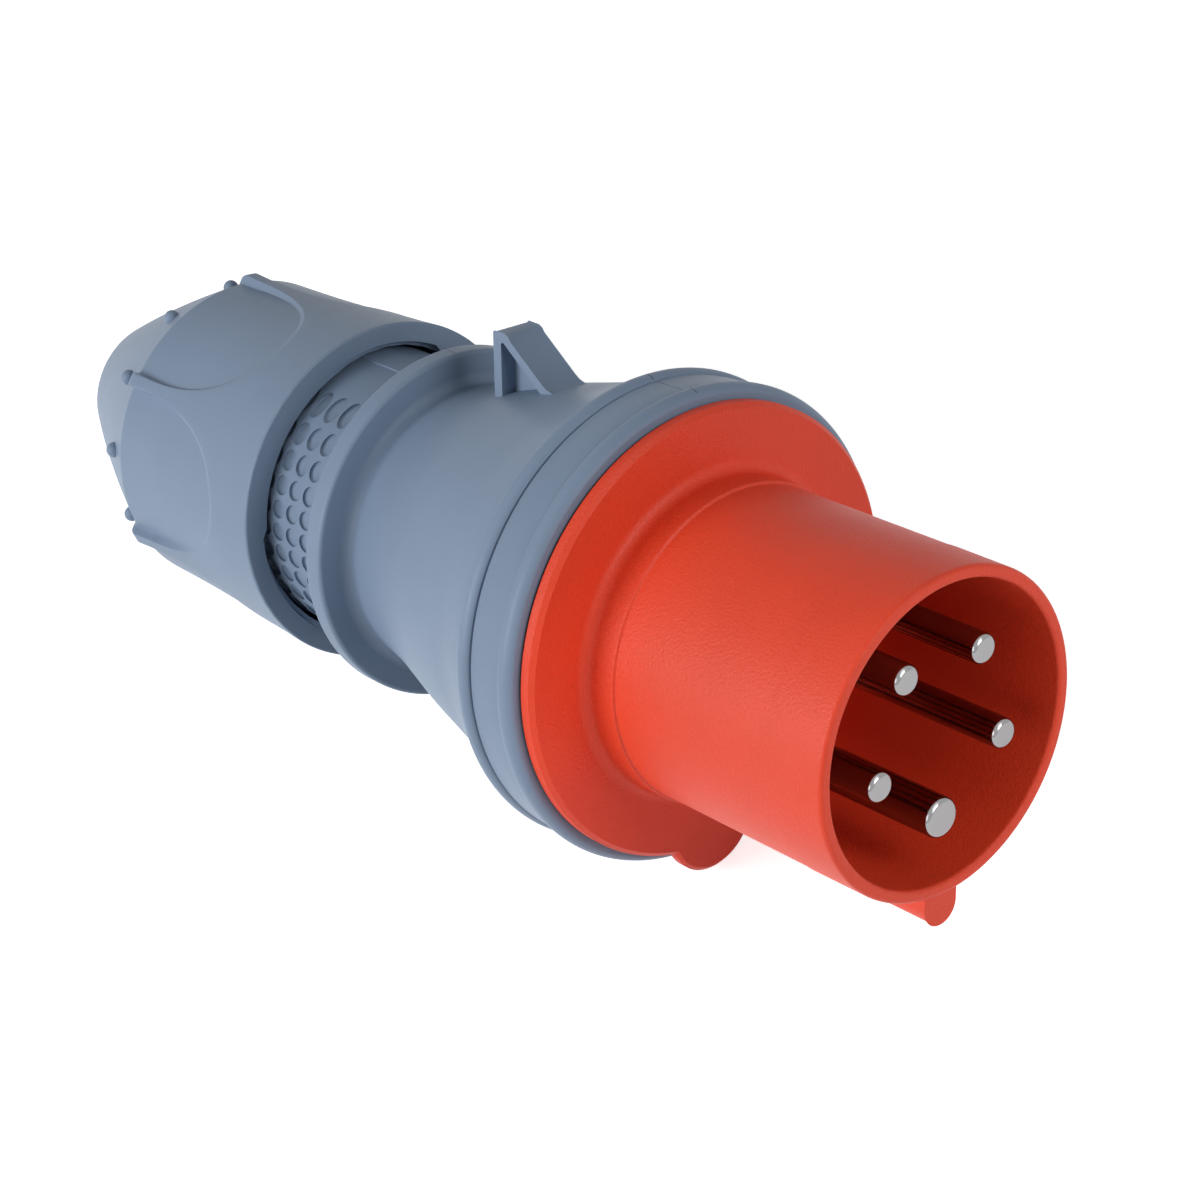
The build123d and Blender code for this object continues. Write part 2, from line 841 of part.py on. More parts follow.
def main():
    os.makedirs("parts", exist_ok=True)
    parts, placement = lay_down(make_parts())
    for name, shape in parts.items():
        export_step(shape, "parts/" + name + ".step")
    print("resting pitch and roll, degrees:", resting_angles())
    print("moved to the table by", placement)


main()
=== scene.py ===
import json
from math import acos, atan2, ceil, cos, pi, radians, sin, sqrt, tan

import bmesh
import bpy
import numpy as np
from mathutils import Matrix, Vector


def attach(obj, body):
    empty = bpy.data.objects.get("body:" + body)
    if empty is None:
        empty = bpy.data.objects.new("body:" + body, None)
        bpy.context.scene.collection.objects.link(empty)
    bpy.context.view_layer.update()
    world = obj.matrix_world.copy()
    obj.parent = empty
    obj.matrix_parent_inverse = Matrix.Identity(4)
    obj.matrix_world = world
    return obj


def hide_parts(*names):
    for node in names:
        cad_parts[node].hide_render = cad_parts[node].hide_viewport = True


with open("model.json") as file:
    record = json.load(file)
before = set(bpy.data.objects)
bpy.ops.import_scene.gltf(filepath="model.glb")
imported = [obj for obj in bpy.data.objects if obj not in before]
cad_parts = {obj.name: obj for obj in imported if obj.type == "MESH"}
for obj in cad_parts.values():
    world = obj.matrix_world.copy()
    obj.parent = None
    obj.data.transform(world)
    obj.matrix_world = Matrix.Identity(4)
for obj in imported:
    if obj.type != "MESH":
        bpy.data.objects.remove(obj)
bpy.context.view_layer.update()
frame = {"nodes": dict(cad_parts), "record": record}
record = frame["record"]
mounts = {mount["name"]: mount for mount in record["mounts"]}

# Everything below is worked out in the plug's own frame, in millimetres: +X is the way the pins
# face, x = 0 is the front face of the red flange, +Z is the side of the hook. Angles round the
# axis start at the hook (12 o'clock) and run towards +Y.
MM = 0.001

# Red pin shroud
sleeve_radius = 32.0
sleeve_bore = 29.4
sleeve_length = 61.4
mouth_inner_round = 0.8
mouth_outer_round = 0.9
bore_draft = 0.1
band_rear = 47.6
band_step = 0.12
band_slope = 0.02
sleeve_rear_radius = 31.7
root_band_length = 7.6
root_band_radius = 32.2
root_band_slope = 0.3
root_band_draft = 0.1
foot_round = 2.3
base_front = 12.0
base_rear = 7.0
base_center_gap = 0.5
hollow_radius = 29.0
flange_radius = 45.5
flange_rear = -3.1
flange_bevel = 0.9
rim_tolerance = 0.001
lug_radius = 10.1
lug_center = 40.8
key_half_width = 3.8
key_reach = 38.3
key_front = 60.5
key_length = 26.0
key_sunk = 1.2
key_bevel = 0.35
key_steps = 24
spigot_radius = 42.5
spigot_inner = 40.0
spigot_rear = -12.0

# Pins
pin_circle = 16.8
pin_tip = 60.7
pin_angles = {"pe": 180.0, "l1": 108.0, "l2": 36.0, "l3": -36.0, "n": -108.0}
pin_radii = {"pe": 4.0, "l1": 3.0, "l2": 3.0, "l3": 3.0, "n": 3.0}
pin_tip_round = 1.2
pin_root_length = 1.0
pin_root_step = 0.4
pin_collar_radius = 6.0
pin_collar_rear = 4.0
barrel_radius = 5.2
barrel_rear = -25.0
wire_bore = 2.9
wire_bore_front = -11.0
pin_center_gap = 0.02
pin_sides = 112

# Housing
housing_front = -3.6
housing_bore = 42.7
housing_wall = 3.0
funnel_knots = ((-20.6, 46.2), (-30.0, 42.1), (-38.3, 39.76), (-48.2, 37.2), (-57.0, 34.5),
                (-65.9, 31.9), (-75.9, 29.9))
funnel_stop = -72.0
funnel_foot = (-72.2, 30.55)
funnel_foot_radius = 29.95
funnel_foot_round = 2.2
tail_radius = 30.5
tail_bore = 26.5
tail_bore_front = -78.0
tail_end = -124.0
collar_front = -75.9
collar_rear = -80.9
collar_radius = 37.3
collar_front_round = 0.9
collar_rear_round = 1.1
hook_half_width = 4.4
hook_rear = -58.7
hook_height = 47.5
hook_corner = 0.3
hook_bevel = 0.3
hook_half_web = 0.9
hook_pocket_reach = 6.0
dimple_radius = 1.95
dimple_depth = 0.7
dimple_pitch = 4.6
dimple_row_pitch = 4.92
dimple_rear = -103.9
dimple_columns = 5
dimple_rows = 11
dimple_sides = 28
dimple_chamfer = 0.2
dimple_draft = 0.1
parting_width = 0.2
parting_depth = 0.12
parting_inset = 0.8
rib_half_angle = 7.0
rib_height = 0.4
rib_root = 2.0
rib_gap = 2.0
rib_rear = -107.0

# How far a cutter reaches past the surface that it cuts
cut_past = 1.0

# Thread and gland nut
thread_starts = 3
thread_lead = 18.0
thread_phase = 87.6
thread_end = -147.8
thread_groove_angle = 48.0
thread_flank_angle = 4.0
nut_thread_root = 32.7
nut_thread_crest = 31.6
nut_front = -101.8
nut_rear = -189.9
nut_rim_radius = 36.9
nut_rim_round = 0.5
nut_waist = (-124.0, 35.95)
nut_shoulder = (-150.6, 36.6)
nut_shoulder_round = 3.0
nut_shoulder_sweep = radians(86)
floor_waist = (-126.0, 35.25)
floor_crease = (-152.2, 34.4)
cone_middle = (-171.05, 25.85)
nut_rear_radius = 16.1
nut_rear_round = 0.5
cable_hole_radius = 13.0
cable_hole_length = 3.0
cable_hole_draft = 0.05
chamber_rear = -162.0
chamber_radius = 28.2
chamber_chamfer = 2.5
chamber_seat_radius = 23.0
chamber_center_gap = 0.01
pocket_count = 6
pocket_angle = radians(-26.6)
pocket_half_angle = radians(27.6)
pocket_center = -143.5
pocket_front_length = 28.0
pocket_edge_inside = 0.5
pocket_edge_width = 0.75
knob_size = 1.7
knob_x = -159.0
knob_circle = 31.6
knob_nudge = (0.013, 0.017)
knob_turn = 0.07
knob_steps = 14
knob_sides = 26

# The nut's grid: steps of its arcs, least gap between rows on the cone, and columns set in from
# the edge of a pocket by these lengths at this radius, with a least angle for that edge
nut_arc_steps = 120
cone_steps = 90
shoulder_steps = 12
row_gap = 0.12
column_offsets = (1.1, 0.8, 0.55, 0.35, 0.18, 0.0, -0.15, -0.35)
column_radius = 36
column_least_angle = radians(11)
tiny = 1e-6


def plug_matrix():
    """Placement of the plug's own frame in the row's frame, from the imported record."""
    axis = Vector(mounts["sleeve"]["axis"]).normalized()
    mouth = Vector(mounts["sleeve"]["pos_m"])
    hook = Vector(mounts["locking_hook"]["pos_m"]) - mouth
    up = (hook - axis * hook.dot(axis)).normalized()
    side = up.cross(axis)
    placed = Matrix((axis, side, up)).transposed().to_4x4()
    placed.translation = mouth - axis * sleeve_length * MM
    return placed


PLUG = plug_matrix()


# Mesh helpers

def spin(x, radius, angle):
    """Points at x and radius, turned by an angle in radians from 12 o'clock towards +Y."""
    x, radius, angle = np.broadcast_arrays(x, radius, angle)
    return np.stack([x, radius * np.sin(angle), radius * np.cos(angle)], axis=-1)


def mesh_object(name, points, faces):
    """Object in the row's frame from points in the plug's frame, in millimetres."""
    mesh = bpy.data.meshes.new(name)
    mesh.from_pydata((np.asarray(points, float) * MM).reshape(-1, 3).tolist(), [], faces)
    mesh.transform(PLUG)
    thing = bpy.data.objects.new(name, mesh)
    bpy.context.scene.collection.objects.link(thing)
    return thing


def grid_faces(rows, columns, close_rows, close_columns, first=0):
    """Quads over a grid of points, wrapping round where it closes."""
    faces = []
    for i in range(rows if close_rows else rows - 1):
        for j in range(columns if close_columns else columns - 1):
            k, m = (i + 1) % rows, (j + 1) % columns
            faces.append(
                (first + i * columns + j, first + i * columns + m,
                 first + k * columns + m, first + k * columns + j)
            )
    return faces


def tidy(thing, sharp=32.0, weld=1e-6):
    """Weld doubled points, point the faces outwards and shade smooth below the sharp angle."""
    work = bmesh.new()
    work.from_mesh(thing.data)
    bmesh.ops.remove_doubles(work, verts=work.verts, dist=weld)
    bmesh.ops.dissolve_degenerate(work, edges=work.edges, dist=weld / 2)
    bmesh.ops.recalc_face_normals(work, faces=work.faces)
    work.to_mesh(thing.data)
    work.free()
    thing.data.shade_smooth()
    thing.data.set_sharp_from_angle(angle=radians(sharp))
    return thing


def lathe(name, profile, segments):
    """Closed ring turned from a closed (x, radius) profile."""
    profile = np.asarray(profile, float)
    angles = np.arange(segments) * 2 * pi / segments
    points = spin(profile[:, :1], profile[:, 1:], angles[None])
    faces = grid_faces(len(profile), segments, True, True)
    return tidy(mesh_object(name, points, faces))


def rounded(corners, steps_at_right_angle=6, support=0.12):
    """Profile through (x, radius, fillet) corners, with points that hold the flats flat."""
    places = [Vector(corner[:2]) for corner in corners]
    fillets = [corner[2] for corner in corners]
    outline = []
    for i, here in enumerate(places):
        before = places[i - 1] - here
        after = places[(i + 1) % len(places)] - here
        turn = pi - before.angle(after)
        if fillets[i] <= 0 or turn < 0.02:
            outline.append(here)
            continue
        cut = fillets[i] * tan(turn / 2)
        start = here + before.normalized() * cut
        end = here + after.normalized() * cut
        bisector = (before.normalized() + after.normalized()).normalized()
        center = here + bisector * (fillets[i] / cos(turn / 2))
        steps = max(2, ceil(steps_at_right_angle * turn / (pi / 2)))
        first = start - center
        second = end - center
        total = first.angle(second)
        if before.length > cut + 3 * support:
            outline.append(start + before.normalized() * support)
        for k in range(steps + 1):
            t = k / steps
            outline.append(
                center + (first * sin((1 - t) * total) + second * sin(t * total)) / sin(total)
            )
        if after.length > cut + 3 * support:
            outline.append(end + after.normalized() * support)
    return [(p.x, p.y) for p in outline]


def boolean(target, tool, operation):
    """Union or difference with a tool that is then removed."""
    modifier = target.modifiers.new("cut", "BOOLEAN")
    modifier.object = tool
    modifier.operation = operation
    modifier.solver = "EXACT"
    apply_modifiers(target)
    bpy.data.objects.remove(tool)


def apply_modifiers(thing):
    """Write the modifiers' result into the mesh."""
    graph = bpy.context.evaluated_depsgraph_get()
    baked = bpy.data.meshes.new_from_object(thing.evaluated_get(graph))
    thing.modifiers.clear()
    thing.data = baked


def joined(name, things):
    """One object from several, with their meshes side by side."""
    work = bmesh.new()
    for thing in things:
        work.from_mesh(thing.data)
        bpy.data.objects.remove(thing)
    mesh = bpy.data.meshes.new(name)
    work.to_mesh(mesh)
    work.free()
    result = bpy.data.objects.new(name, mesh)
    bpy.context.scene.collection.objects.link(result)
    return result


def prism(name, outline, axis_along, low, high, bevel=0.0):
    """Straight bar with a closed outline in two coordinates and its length along x or y."""
    count = len(outline)
    points = []
    for level in (low, high):
        for a, b in outline:
            points.append((level, a, b) if axis_along == "x" else (a, level, b))
    faces = [tuple(range(count)), tuple(range(2 * count - 1, count - 1, -1))]
    for i in range(count):
        j = (i + 1) % count
        faces.append((i, j, count + j, count + i))
    thing = mesh_object(name, points, faces)
    if bevel:
        modifier = thing.modifiers.new("bevel", "BEVEL")
        modifier.width = bevel * MM
        modifier.segments = 3
        modifier.limit_method = "ANGLE"
        modifier.angle_limit = radians(30)
        apply_modifiers(thing)
    return tidy(thing)


# Red pin shroud

def flange_reach(angle):
    """Outline of the red flange with its round lug at 6 o'clock."""
    off = np.abs(angle % (2 * pi) - pi)
    inside = lug_radius**2 - (lug_center * np.sin(off)) ** 2
    lug = lug_center * np.cos(off) + np.sqrt(np.maximum(inside, 0))
    return np.where((inside > 0) & (np.cos(off) > 0) & (lug > flange_radius), lug, flange_radius)


def make_key():
    """Key under the sleeve: a straight bar with a round foot, sunk into the sleeve."""
    half = key_half_width
    top = -sleeve_radius + key_sunk
    outline = [(half, top)]
    for k in range(key_steps + 1):
        turn = pi * k / key_steps
        outline.append((half * cos(turn), -key_reach + half - half * sin(turn)))
    outline.append((-half, top))
    return prism("key", outline, "x", key_front - key_length, key_front, bevel=key_bevel)


def make_shroud():
    """Sleeve, flange with lug, base wall and spigot in one turned form; then the key."""
    corner_angle = acos((flange_radius**2 + lug_center**2 - lug_radius**2)
                        / (2 * flange_radius * lug_center))
    round_lug = np.linspace(0, 1, 48, endpoint=False)
    round_rest = np.linspace(0, 1, 160, endpoint=False)
    angles = np.concatenate([
        pi - corner_angle + 2 * corner_angle * round_lug,
        pi + corner_angle + (2 * pi - 2 * corner_angle) * round_rest,
    ])
    profile = rounded([
        (sleeve_length, sleeve_bore, mouth_inner_round),
        (sleeve_length, sleeve_radius, mouth_outer_round),
        (band_rear + band_slope, sleeve_radius, 0.06),
        (band_rear, sleeve_radius - band_step, 0.06),
        (root_band_length, sleeve_rear_radius, 0.15),
        (root_band_length - root_band_slope, root_band_radius, 0.2),
        (0, root_band_radius + root_band_draft, foot_round),
        (0, flange_radius, 0),
        (flange_rear, flange_radius, 0.3),
        (flange_rear, spigot_radius, 0),
        (spigot_rear, spigot_radius, 0.3),
        (spigot_rear, spigot_inner, 0.3),
        (flange_rear, spigot_inner, 0.4),
        (flange_rear, hollow_radius, 0.4),
        (base_rear, hollow_radius, 0.4),
        (base_rear, base_center_gap, 0),
        (base_front, base_center_gap, 0),
        (base_front, sleeve_bore - bore_draft, 0.6),
    ])
    rows = []
    reach = flange_reach(angles)
    for x, radius in profile:
        if radius <= flange_radius - rim_tolerance:
            rows.append(spin(x, radius, angles))
        elif x > flange_rear / 2:
            for share in np.linspace(0, 1, 6):
                inset = flange_bevel * (1 - share)
                rows.append(spin(-flange_bevel * share, reach - inset, angles))
        else:
            rows.append(spin(x, reach, angles))
    faces = grid_faces(len(rows), len(angles), True, True)
    shroud = tidy(mesh_object("shroud", rows, faces), weld=2e-6)
    boolean(shroud, make_key(), "UNION")
    return tidy(shroud)


def make_pin(name):
    """Turned contact pin with its root, collar, barrel and wire bore."""
    radius = pin_radii[name]
    root_end = base_front + pin_root_length
    profile = np.asarray(rounded([
        (pin_tip, pin_center_gap, 0),
        (pin_tip, radius, pin_tip_round),
        (root_end, radius, 0),
        (root_end - pin_root_step, radius + pin_root_step, 0),
        (base_rear, radius + pin_root_step, 0),
        (base_rear, pin_collar_radius, 0.2),
        (pin_collar_rear, pin_collar_radius, 0.2),
        (pin_collar_rear, barrel_radius, 0.1),
        (barrel_rear, barrel_radius, 0.3),
        (barrel_rear, wire_bore, 0.2),
        (wire_bore_front, wire_bore, 0),
        (wire_bore_front, pin_center_gap, 0),
    ], steps_at_right_angle=8))
    angles = np.arange(pin_sides) * 2 * pi / pin_sides
    points = spin(profile[:, :1], profile[:, 1:], angles[None])
    angle = radians(pin_angles[name])
    points = points + np.array([0, pin_circle * sin(angle), pin_circle * cos(angle)])
    faces = grid_faces(len(profile), pin_sides, True, True)
    return tidy(mesh_object("contact_pin_" + name, points, faces))


# Curves

def spline_points(knots, steps):
    """Smooth curve through the knots (Catmull-Rom), with steps points a span."""
    knots = [np.array(k, float) for k in knots]
    ends = [2 * knots[0] - knots[1]] + knots + [2 * knots[-1] - knots[-2]]
    curve = []
    for i in range(1, len(ends) - 2):
        a, b, c, d = ends[i - 1:i + 3]
        for k in range(steps):
            t = k / steps
            curve.append(0.5 * (2 * b + (c - a) * t + (2 * a - 5 * b + 4 * c - d) * t * t
                                + (3 * b - a - 3 * c + d) * t ** 3))
    curve.append(knots[-1])
    return [tuple(p) for p in curve]


def arc_points(start, middle, end, steps):
    """Circular arc through three points."""
    (ax, ay), (bx, by), (cx, cy) = start, middle, end
    d = 2 * (ax * (by - cy) + bx * (cy - ay) + cx * (ay - by))
    ux = ((ax**2 + ay**2) * (by - cy) + (bx**2 + by**2) * (cy - ay)
          + (cx**2 + cy**2) * (ay - by)) / d
    uy = ((ax**2 + ay**2) * (cx - bx) + (bx**2 + by**2) * (ax - cx)
          + (cx**2 + cy**2) * (bx - ax)) / d
    radius = sqrt((ax - ux) ** 2 + (ay - uy) ** 2)
    first = atan2(ay - uy, ax - ux)
    last = atan2(cy - uy, cx - ux)
    through = atan2(by - uy, bx - ux)
    sweep = (last - first + pi) % (2 * pi) - pi
    half = (through - first + pi) % (2 * pi) - pi
    if half * sweep < 0:
        sweep += 2 * pi if sweep < 0 else -2 * pi
    return [
        (ux + radius * cos(first + sweep * k / steps), uy + radius * sin(first + sweep * k / steps))
        for k in range(steps + 1)
    ]


# Grey housing

def make_shell():
    """Mounting ring, groove, bead, funnel, collar and tail in one turned form."""
    funnel = spline_points(funnel_knots, 7)
    inner = [(x, r - housing_wall) for x, r in reversed(funnel)]
    profile = [(housing_front, housing_bore), (housing_front, 46.55)]
    profile += arc_points((housing_front, 46.66), (-4.5, 47.72), (-6.1, 48.06), 7)
    profile += arc_points((-6.1, 48.06), (-6.9, 47.85), (-7.5, 47.25), 5)[1:]
    profile += [(-7.7, 47.2), (-8.0, 47.2), (-15.5, 47.0), (-15.6, 46.95)]
    profile += [(-15.7, 46.4), (-16.1, 46.4), (-16.2, 46.8)]
    profile += arc_points((-16.25, 46.95), (-18.2, 47.7), (-20.0, 46.75), 9)
    profile += [(-20.25, 46.45)]
    profile += [point for point in funnel if point[0] > funnel_stop]
    profile += rounded([
        funnel_foot + (0,),
        (collar_front, funnel_foot_radius, funnel_foot_round),
        (collar_front, collar_radius, collar_front_round),
        (collar_rear, collar_radius, collar_rear_round),
        (collar_rear, tail_radius, 0.6),
        (tail_end, tail_radius, 0.5),
        (tail_end, tail_bore, 0.3),
        (tail_bore_front, tail_bore, 0),
    ])
    profile += inner
    profile += [(-18.0, housing_bore), (-12.0, housing_bore)]
    return lathe("housing_shell", profile, 360)


def make_hook():
    """Locking hook with a pocket on each side of its middle web."""
    outline = [(hook_rear, 32.0), (hook_rear, hook_height - hook_corner),
               (hook_rear + hook_corner, hook_height), (-55.3, hook_height), (-54.4, 47.1),
               (-53.8, 46.3), (-44.6, 39.9), (-43.2, 39.1), (-41.6, 38.7), (-40.6, 38.5),
               (-40.6, 37.6)]
    hook = prism("hook", outline, "y", -hook_half_width, hook_half_width, bevel=hook_bevel)
    pocket = [(-56.6, 30.0), (-56.6, 45.2), (-56.2, 45.7), (-55.7, 45.6), (-43.0, 36.6),
              (-43.0, 30.0)]
    for low, high in ((-hook_pocket_reach, -hook_half_web), (hook_half_web, hook_pocket_reach)):
        boolean(hook, prism("pocket", pocket, "y", low, high), "DIFFERENCE")
    return hook


def make_rib():
    """Low flat rib along the top of the tail."""
    half = radians(rib_half_angle)
    angles = np.linspace(-half, half, 25)
    rows = []
    for x in (collar_rear + rib_gap, rib_rear):
        rows.append(np.concatenate([
            spin(x, tail_radius + rib_height, angles),
            spin(x, tail_radius - rib_root, angles[::-1]),
        ]))
    count = len(rows[0])
    faces = grid_faces(2, count, False, True)
    faces += [tuple(range(count)), tuple(range(2 * count - 1, count - 1, -1))]
    return tidy(mesh_object("rib", rows, faces))


def dimple_cutters():
    """All grip dimples as one group of round plugs.

    The mould's sides draw them along Y, so they stand in level rows and reach further round the
    tail near its top and bottom.
    """
    points = []
    faces = []
    turns = np.arange(dimple_sides) * 2 * pi / dimple_sides
    floor = tail_radius - dimple_depth
    levels = ((floor, dimple_radius - dimple_chamfer), (floor + dimple_chamfer, dimple_radius),
              (tail_radius + cut_past, dimple_radius + dimple_draft))
    for column in range(dimple_columns):
        x = dimple_rear + column * dimple_pitch
        for row in range(dimple_rows):
            z = (row - (dimple_rows - 1) / 2) * dimple_row_pitch
            for side in (-1, 1):
                first = len(points)
                for level, radius in levels:
                    for turn in turns:
                        up = z + radius * sin(turn)
                        points.append((x + radius * cos(turn), side * sqrt(level**2 - up**2), up))
                faces += grid_faces(len(levels), dimple_sides, False, True, first)
                for level, ring in ((levels[0][0], 0), (levels[-1][0], len(levels) - 1)):
                    start = first + ring * dimple_sides
                    middle = len(points)
                    points.append((x, side * sqrt(level**2 - z**2), z))
                    for k in range(dimple_sides):
                        faces.append((middle, start + k, start + (k + 1) % dimple_sides))
    return tidy(mesh_object("dimples", np.array(points), faces))


def parting_cutter():
    """Thin blades along 12 o'clock that leave the parting line on ring, bead and collar."""
    half = parting_width / 2
    blades = []
    for outline in (((-4.4, 47.55), (-6.1, 48.0), (-7.5, 47.2), (-15.5, 47.0)),
                    ((-16.4, 47.1), (-18.2, 47.7), (-19.8, 46.9)),
                    ((collar_front - parting_inset, collar_radius),
                     (collar_rear + parting_inset, collar_radius))):
        lower = [(x, r - parting_depth) for x, r in outline]
        upper = [(x, r + cut_past) for x, r in reversed(outline)]
        blades.append(prism("blade", lower + upper, "y", -half, half))
    return joined("parting", blades)


def make_housing():
    """Shell with its hook, rib, dimples and parting line."""
    housing = make_shell()
    boolean(housing, make_hook(), "UNION")
    boolean(housing, make_rib(), "UNION")
    boolean(housing, dimple_cutters(), "DIFFERENCE")
    boolean(housing, parting_cutter(), "DIFFERENCE")
    return tidy(housing)


# Gland nut

def nut_rows():
    """Matching rows (x, radius) over the ridges and over the floor of the pockets.

    Behind the shoulder both run down the same cone to the rear ring.
    """
    rim = nut_front - nut_rim_round
    lip = [(rim + nut_rim_round * cos(turn), nut_rim_radius - nut_rim_round * (1 - sin(turn)))
           for turn in np.linspace(0, pi / 2, 6)[:-1]]
    land = lip + arc_points((rim, nut_rim_radius), nut_waist, nut_shoulder, nut_arc_steps)
    floor = lip + arc_points((rim, nut_rim_radius), floor_waist, floor_crease, nut_arc_steps)
    center_radius = nut_shoulder[1] - nut_shoulder_round
    for k in range(1, shoulder_steps + 1):
        turn = nut_shoulder_sweep * k / shoulder_steps
        land.append((nut_shoulder[0] - nut_shoulder_round * sin(turn),
                     center_radius + nut_shoulder_round * cos(turn)))
    cone = arc_points(floor_crease, cone_middle, (nut_rear, nut_rear_radius), cone_steps)
    foot = land[-1]
    near = [point for point in cone if point[0] > foot[0] + row_gap]
    place = np.array(near + [foot])
    for k in range(1, shoulder_steps + 1):
        at = (len(place) - 1) * k / shoulder_steps
        low = min(int(at), len(place) - 2)
        floor.append(tuple(place[low] + (place[low + 1] - place[low]) * (at - low)))
    rest = [point for point in cone if point[0] < foot[0] - row_gap][:-1]
    edge = nut_rear_round
    for turn in np.linspace(radians(25), radians(90), 6):
        rest.append((nut_rear + edge - edge * sin(turn), nut_rear_radius - edge + edge * cos(turn)))
    return np.array(land + rest), np.array(floor + rest)


def pocket_edge(x):
    """Half angle of a pocket at x."""
    share = np.clip((x - pocket_center) / pocket_front_length, 0, 1)
    return np.arctan(tan(pocket_half_angle) * np.sqrt(1 - share**2))


def pocket_columns(half):
    """Angles of the grid's columns over half a pocket and its ridge, dense beside the edge."""
    guide = np.maximum(half, column_least_angle)
    first = guide - column_offsets[0] / column_radius
    columns = [first - first * (1 - k / 9) for k in range(9)]
    columns += [guide - offset / column_radius for offset in column_offsets]
    last = columns[-1]
    columns += [last + (pi / pocket_count - last) * k / 3 for k in (1, 2)]
    return np.array(columns)


def make_nut_outside():
    """Outside of the nut: a fine grid whose columns follow the edges of the pockets."""
    land, floor = nut_rows()
    half = pocket_edge(land[:, 0])
    columns = pocket_columns(half)
    side_distance = (columns - half) * land[:, 1]
    share = np.clip((land[:, 0] - pocket_center) / pocket_front_length, 0, None)
    reach = np.hypot(share, np.tan(columns) / tan(pocket_half_angle))
    steepness = np.hypot(share / pocket_front_length,
                         np.tan(columns) / tan(pocket_half_angle) ** 2 / land[:, 1])
    gradient = steepness / np.maximum(reach, tiny)
    front_distance = (reach - 1) / np.maximum(gradient, tiny)
    distance = np.where(land[:, 0] > pocket_center, front_distance, side_distance)
    level = np.clip((distance + pocket_edge_inside) / pocket_edge_width, 0, 1)
    level = level * level * (3 - 2 * level)
    mixed = floor[None] + (land - floor)[None] * level[..., None]
    wedge = spin(mixed[..., 0], mixed[..., 1], columns)
    mirror = wedge[:0:-1] * np.array([1, -1, 1])
    ridge = spin(land[:, 0], land[:, 1], pi / pocket_count)
    sector = np.concatenate([mirror, wedge, ridge[None]])
    grid = np.concatenate([turned_about(sector, pocket_angle + k * 2 * pi / pocket_count)
                           for k in range(pocket_count)])
    count, rows = grid.shape[:2]
    faces = grid_faces(count, rows, True, False)
    faces.append(tuple(i * rows for i in range(count)))
    faces.append(tuple(i * rows + rows - 1 for i in reversed(range(count))))
    return tidy(mesh_object("nut_outside", grid, faces), sharp=40)


def turned_about(points, angle):
    """Points turned round the axis from 12 o'clock towards +Y."""
    turn = np.array([[1, 0, 0], [0, cos(angle), sin(angle)], [0, -sin(angle), cos(angle)]])
    return points @ turn.T


def thread_cutter():
    """Twisted three-start bar that leaves the nut's inner thread."""
    pitch = 360 / thread_starts
    groove = thread_groove_angle / 2
    flank = groove + thread_flank_angle
    sections = (
        (-groove, groove, nut_thread_root, nut_thread_root, 12),
        (groove, flank, nut_thread_root, nut_thread_crest, 1),
        (flank, pitch - flank, nut_thread_crest, nut_thread_crest, 12),
        (pitch - flank, pitch - groove, nut_thread_crest, nut_thread_root, 1),
    )
    outline = []
    for k in range(thread_starts):
        for low, high, r0, r1, steps in sections:
            for t in np.arange(steps) / steps:
                outline.append((pitch * k + low + (high - low) * t, r0 + (r1 - r0) * t))
    outline = np.array(outline)
    xs = np.linspace(nut_front + 2, thread_end, 97)
    turn = 360 * (xs - nut_front) / thread_lead
    angle = np.radians(90 - (thread_phase + turn[:, None] + outline[None, :, 0]))
    points = spin(xs[:, None], outline[None, :, 1], angle)
    faces = grid_faces(len(xs), len(outline), False, True)
    faces.append(tuple(range(len(outline))))
    faces.append(tuple((len(xs) - 1) * len(outline) + k for k in reversed(range(len(outline)))))
    return tidy(mesh_object("thread", points.reshape(-1, 3), faces))


def knob_group():
    """Twelve round knobs on the cone, level with the pockets and with the ridges.

    They are nudged by hundredths of a millimetre, so that no point falls on the nut's own grid.
    """
    profile = [(knob_size * cos(t), knob_size * sin(t))
               for t in np.linspace(0, pi, knob_steps + 1)[1:-1]]
    ring = np.arange(knob_sides) * 2 * pi / knob_sides + knob_turn
    ball = np.array([[(c, s * cos(t), s * sin(t)) for t in ring] for c, s in profile])
    ball = np.concatenate([ball.reshape(-1, 3), [[knob_size, 0, 0], [-knob_size, 0, 0]]])
    placed = ball + np.array([knob_x + knob_nudge[0], knob_nudge[1], knob_circle])
    points = []
    faces = []
    for k in range(2 * pocket_count):
        first = k * len(ball)
        points.append(turned_about(placed, pocket_angle + k * pi / pocket_count))
        faces += grid_faces(len(profile), len(ring), False, True, first)
        top, bottom = first + len(ball) - 2, first + len(ball) - 1
        last = first + (len(profile) - 1) * len(ring)
        for j in range(len(ring)):
            m = (j + 1) % len(ring)
            faces += [(top, first + m, first + j), (bottom, last + j, last + m)]
    return tidy(mesh_object("knobs", np.concatenate(points), faces))


